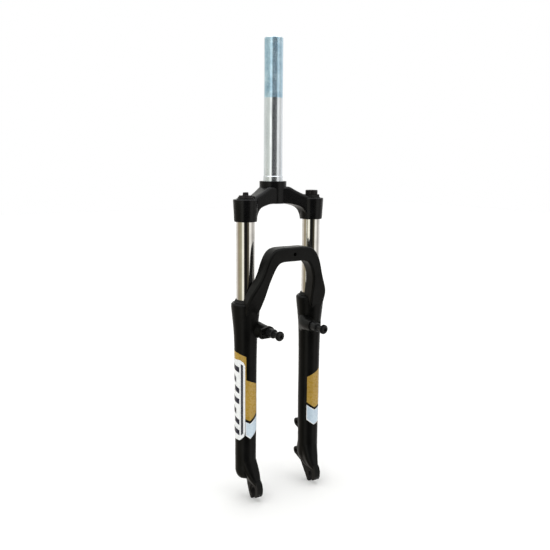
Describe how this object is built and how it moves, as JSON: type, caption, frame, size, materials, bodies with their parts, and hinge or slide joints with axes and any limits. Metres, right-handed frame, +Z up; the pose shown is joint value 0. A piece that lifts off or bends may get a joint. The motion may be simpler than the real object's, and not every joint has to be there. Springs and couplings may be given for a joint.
{
  "type": "bicycle suspension fork",
  "caption": "Telescopic front fork with threaded steerer, chromed stanchions, bridge, brake studs, disc tabs, preload knob and lockout dial.",
  "frame": {"origin": "steerer axis in the plane of the crown-race seat's lower edge", "axes": "+Z up along the steerer, -Y forward in the riding direction, +X towards the rider's left"},
  "size_m": [0.1646, 0.1083, 0.7049],
  "materials": {
    "zinc_steel": "zinc plated, satin",
    "satin_black": "satin black powder coat",
    "leg_black": "satin black paint over cast magnesium",
    "chrome": "hard chrome",
    "black_plastic": "moulded, matt",
    "knob_plastic": "moulded, semi-gloss",
    "inner_alloy": "machined",
    "inner_plastic": "moulded",
    "black_steel": "black oxide",
    "bright_steel": "bright zinc",
    "spring_steel": "black phosphate",
    "rubber": "matt",
    "bushing": "bronze-backed sleeve",
    "elastomer": "microcellular foam"
  },
  "bodies": {
    "chassis": {"steerer_tube": "zinc_steel", "crown": "satin_black", "stanchion_left": "chrome", "stanchion_right": "chrome", "preload_cap": "black_plastic", "lockout_cap": "black_plastic", "damper_tube": "inner_alloy", "rod_guide_left": "inner_plastic", "rod_guide_right": "inner_plastic", "guide_circlips": "black_steel", "top_out_bumper_left": "rubber", "top_out_bumper_right": "rubber", "coil_spring": "spring_steel"},
    "lowers": {"lower_legs": "leg_black", "dust_seal_left": "rubber", "dust_seal_right": "rubber", "upper_bushing_left": "bushing", "upper_bushing_right": "bushing", "lower_bushing_left": "bushing", "lower_bushing_right": "bushing", "compression_rod": "inner_alloy", "damper_rod": "bright_steel", "damper_piston": "inner_alloy", "elastomer": "elastomer", "foot_bolts": "black_steel", "foot_washers": "bright_steel", "brake_stud_left": "black_steel", "brake_stud_right": "black_steel", "brake_bolts": "black_steel"},
    "preload_turner": {"preload_knob": "knob_plastic", "knob_screw": "black_steel", "preload_screw": "bright_steel"},
    "plunger": {"preload_plunger": "inner_plastic"},
    "lockout": {"lockout_dial": "knob_plastic", "dial_screw": "black_steel", "lockout_shaft": "bright_steel"}
  },
  "joints": [
    {"name": "travel", "type": "slide", "parent": "chassis", "child": "lowers", "axis": [0, 0, 1], "range_m": [0, 0.08], "stiffness_N_per_m": 5500, "springref_m": -0.012, "deforming": ["coil_spring"]},
    {"name": "preload_turn", "type": "hinge", "parent": "chassis", "child": "preload_turner", "pos_m": [0.06, -0.019, -0.02], "axis": [0, 0, -1], "range_deg": [0, 1080]},
    {"name": "preload_slide", "type": "slide", "parent": "chassis", "child": "plunger", "axis": [0, 0, -1], "range_m": [0, 0.009]},
    {"name": "lockout_turn", "type": "hinge", "parent": "chassis", "child": "lockout", "pos_m": [-0.06, -0.019, -0.02], "axis": [0, 0, -1], "range_deg": [0, 90]}
  ],
  "couplings": [
    {"joint": "preload_slide", "follows": "preload_turn", "m_per_rad": 0.00047746}
  ]
}
